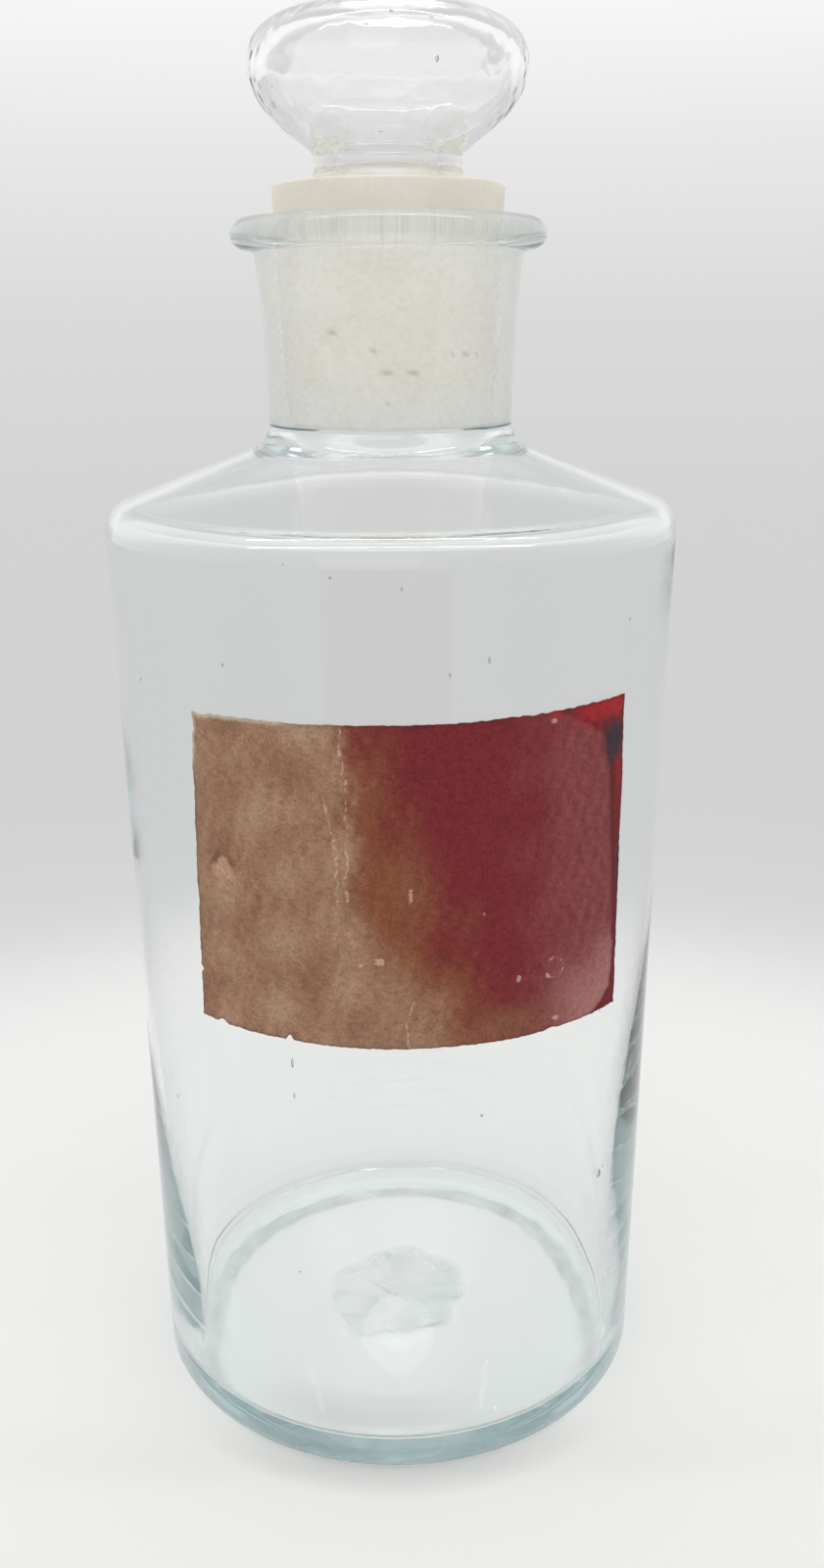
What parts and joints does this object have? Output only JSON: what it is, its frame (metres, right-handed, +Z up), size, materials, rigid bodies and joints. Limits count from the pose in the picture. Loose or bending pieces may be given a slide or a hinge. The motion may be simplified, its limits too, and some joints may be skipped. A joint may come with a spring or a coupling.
{
  "type": "apothecary bottle",
  "caption": "Cylindrical clear glass apothecary bottle with a short neck, a rolled lip, a ground glass stopper with a round knob, and a bare aged paper label.",
  "frame": {"origin": "centre of the base, on the surface the bottle stands on", "axes": "+Z up along the bottle's axis, -Y to the front where the label is, +X to the viewer's right"},
  "size_m": [0.1, 0.1001, 0.2474],
  "materials": {
    "bottle_glass": "fire-polished, ground inside the neck",
    "stopper_glass": "fire-polished hollow knob, ground plug",
    "label_paper": "aged and stained"
  },
  "bodies": {
    "bottle": {"bottle": "bottle_glass", "label": "label_paper"},
    "stopper": {"stopper": "stopper_glass"}
  },
  "joints": [
    {"name": "stopper_lift", "type": "slide", "parent": "bottle", "child": "stopper", "axis": [0, 0, 1], "range_m": [0, 0.06]}
  ]
}
